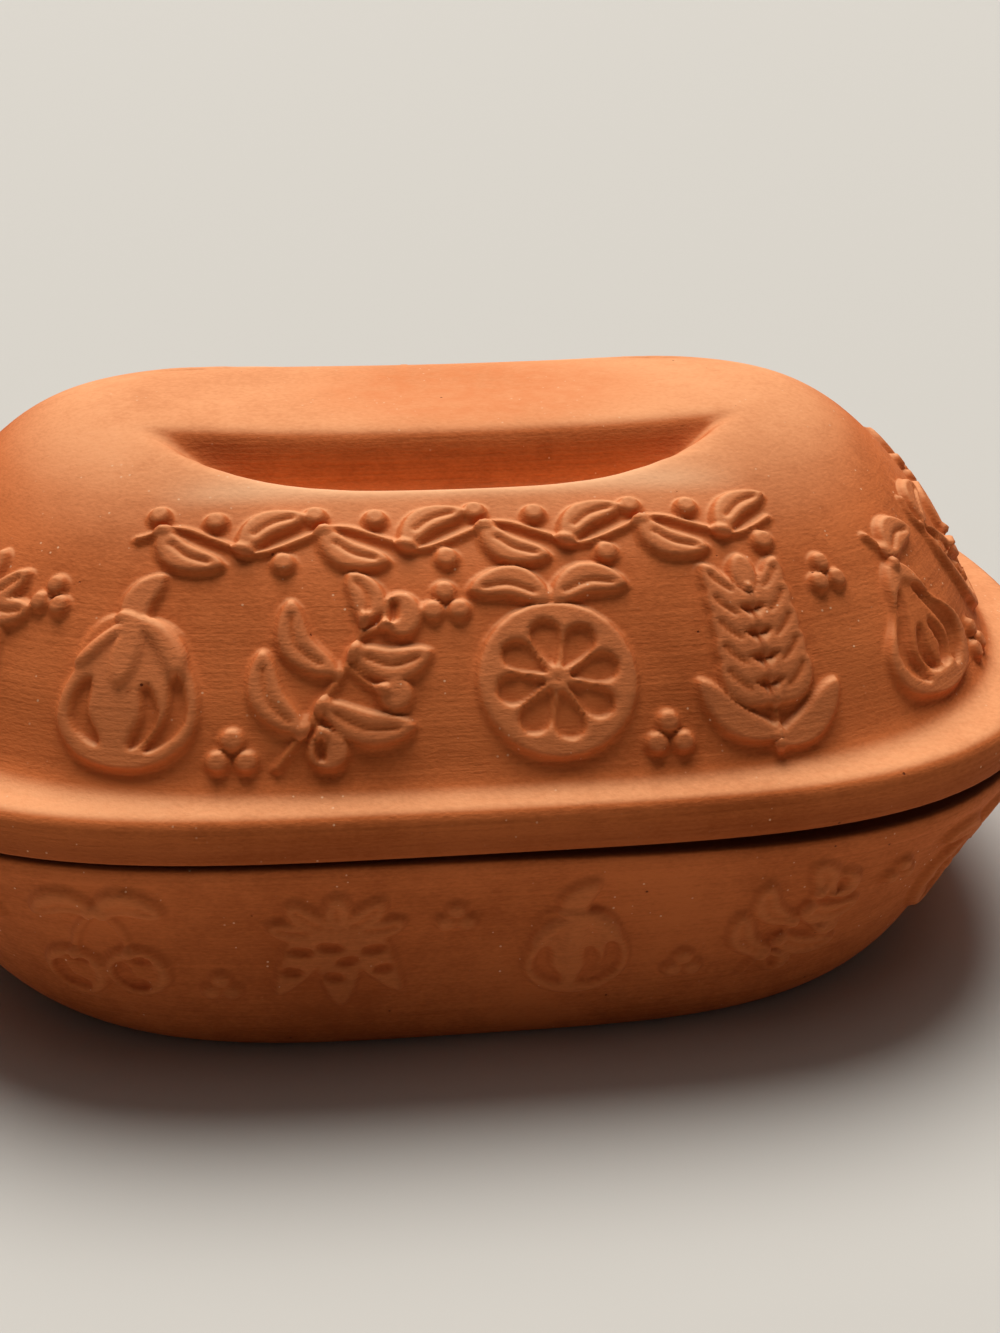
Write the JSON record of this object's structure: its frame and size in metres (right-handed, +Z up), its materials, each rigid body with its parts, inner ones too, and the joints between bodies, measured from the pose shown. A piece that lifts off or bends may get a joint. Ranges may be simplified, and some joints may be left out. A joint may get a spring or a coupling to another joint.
{
  "type": "clay baker",
  "caption": "Oval unglazed clay baker: deep base with leaning walls, and a loose domed lid with a wide flange and a handle ridge between finger hollows.",
  "frame": {"origin": "centre of the flat underside of the base, on the table", "axes": "+X along the length of the oval, +Z up through the lid's crown"},
  "size_m": [0.352, 0.255, 0.1454],
  "materials": {
    "base_clay": "fired unglazed terracotta, dry and matt",
    "lid_clay": "fired unglazed terracotta, dry and matt"
  },
  "bodies": {
    "base": {"base": "base_clay"},
    "lid": {"lid": "lid_clay"}
  },
  "joints": [
    {"name": "lid_lift", "type": "slide", "parent": "base", "child": "lid", "axis": [0, 0, 1], "range_m": [0, 0.15]}
  ]
}
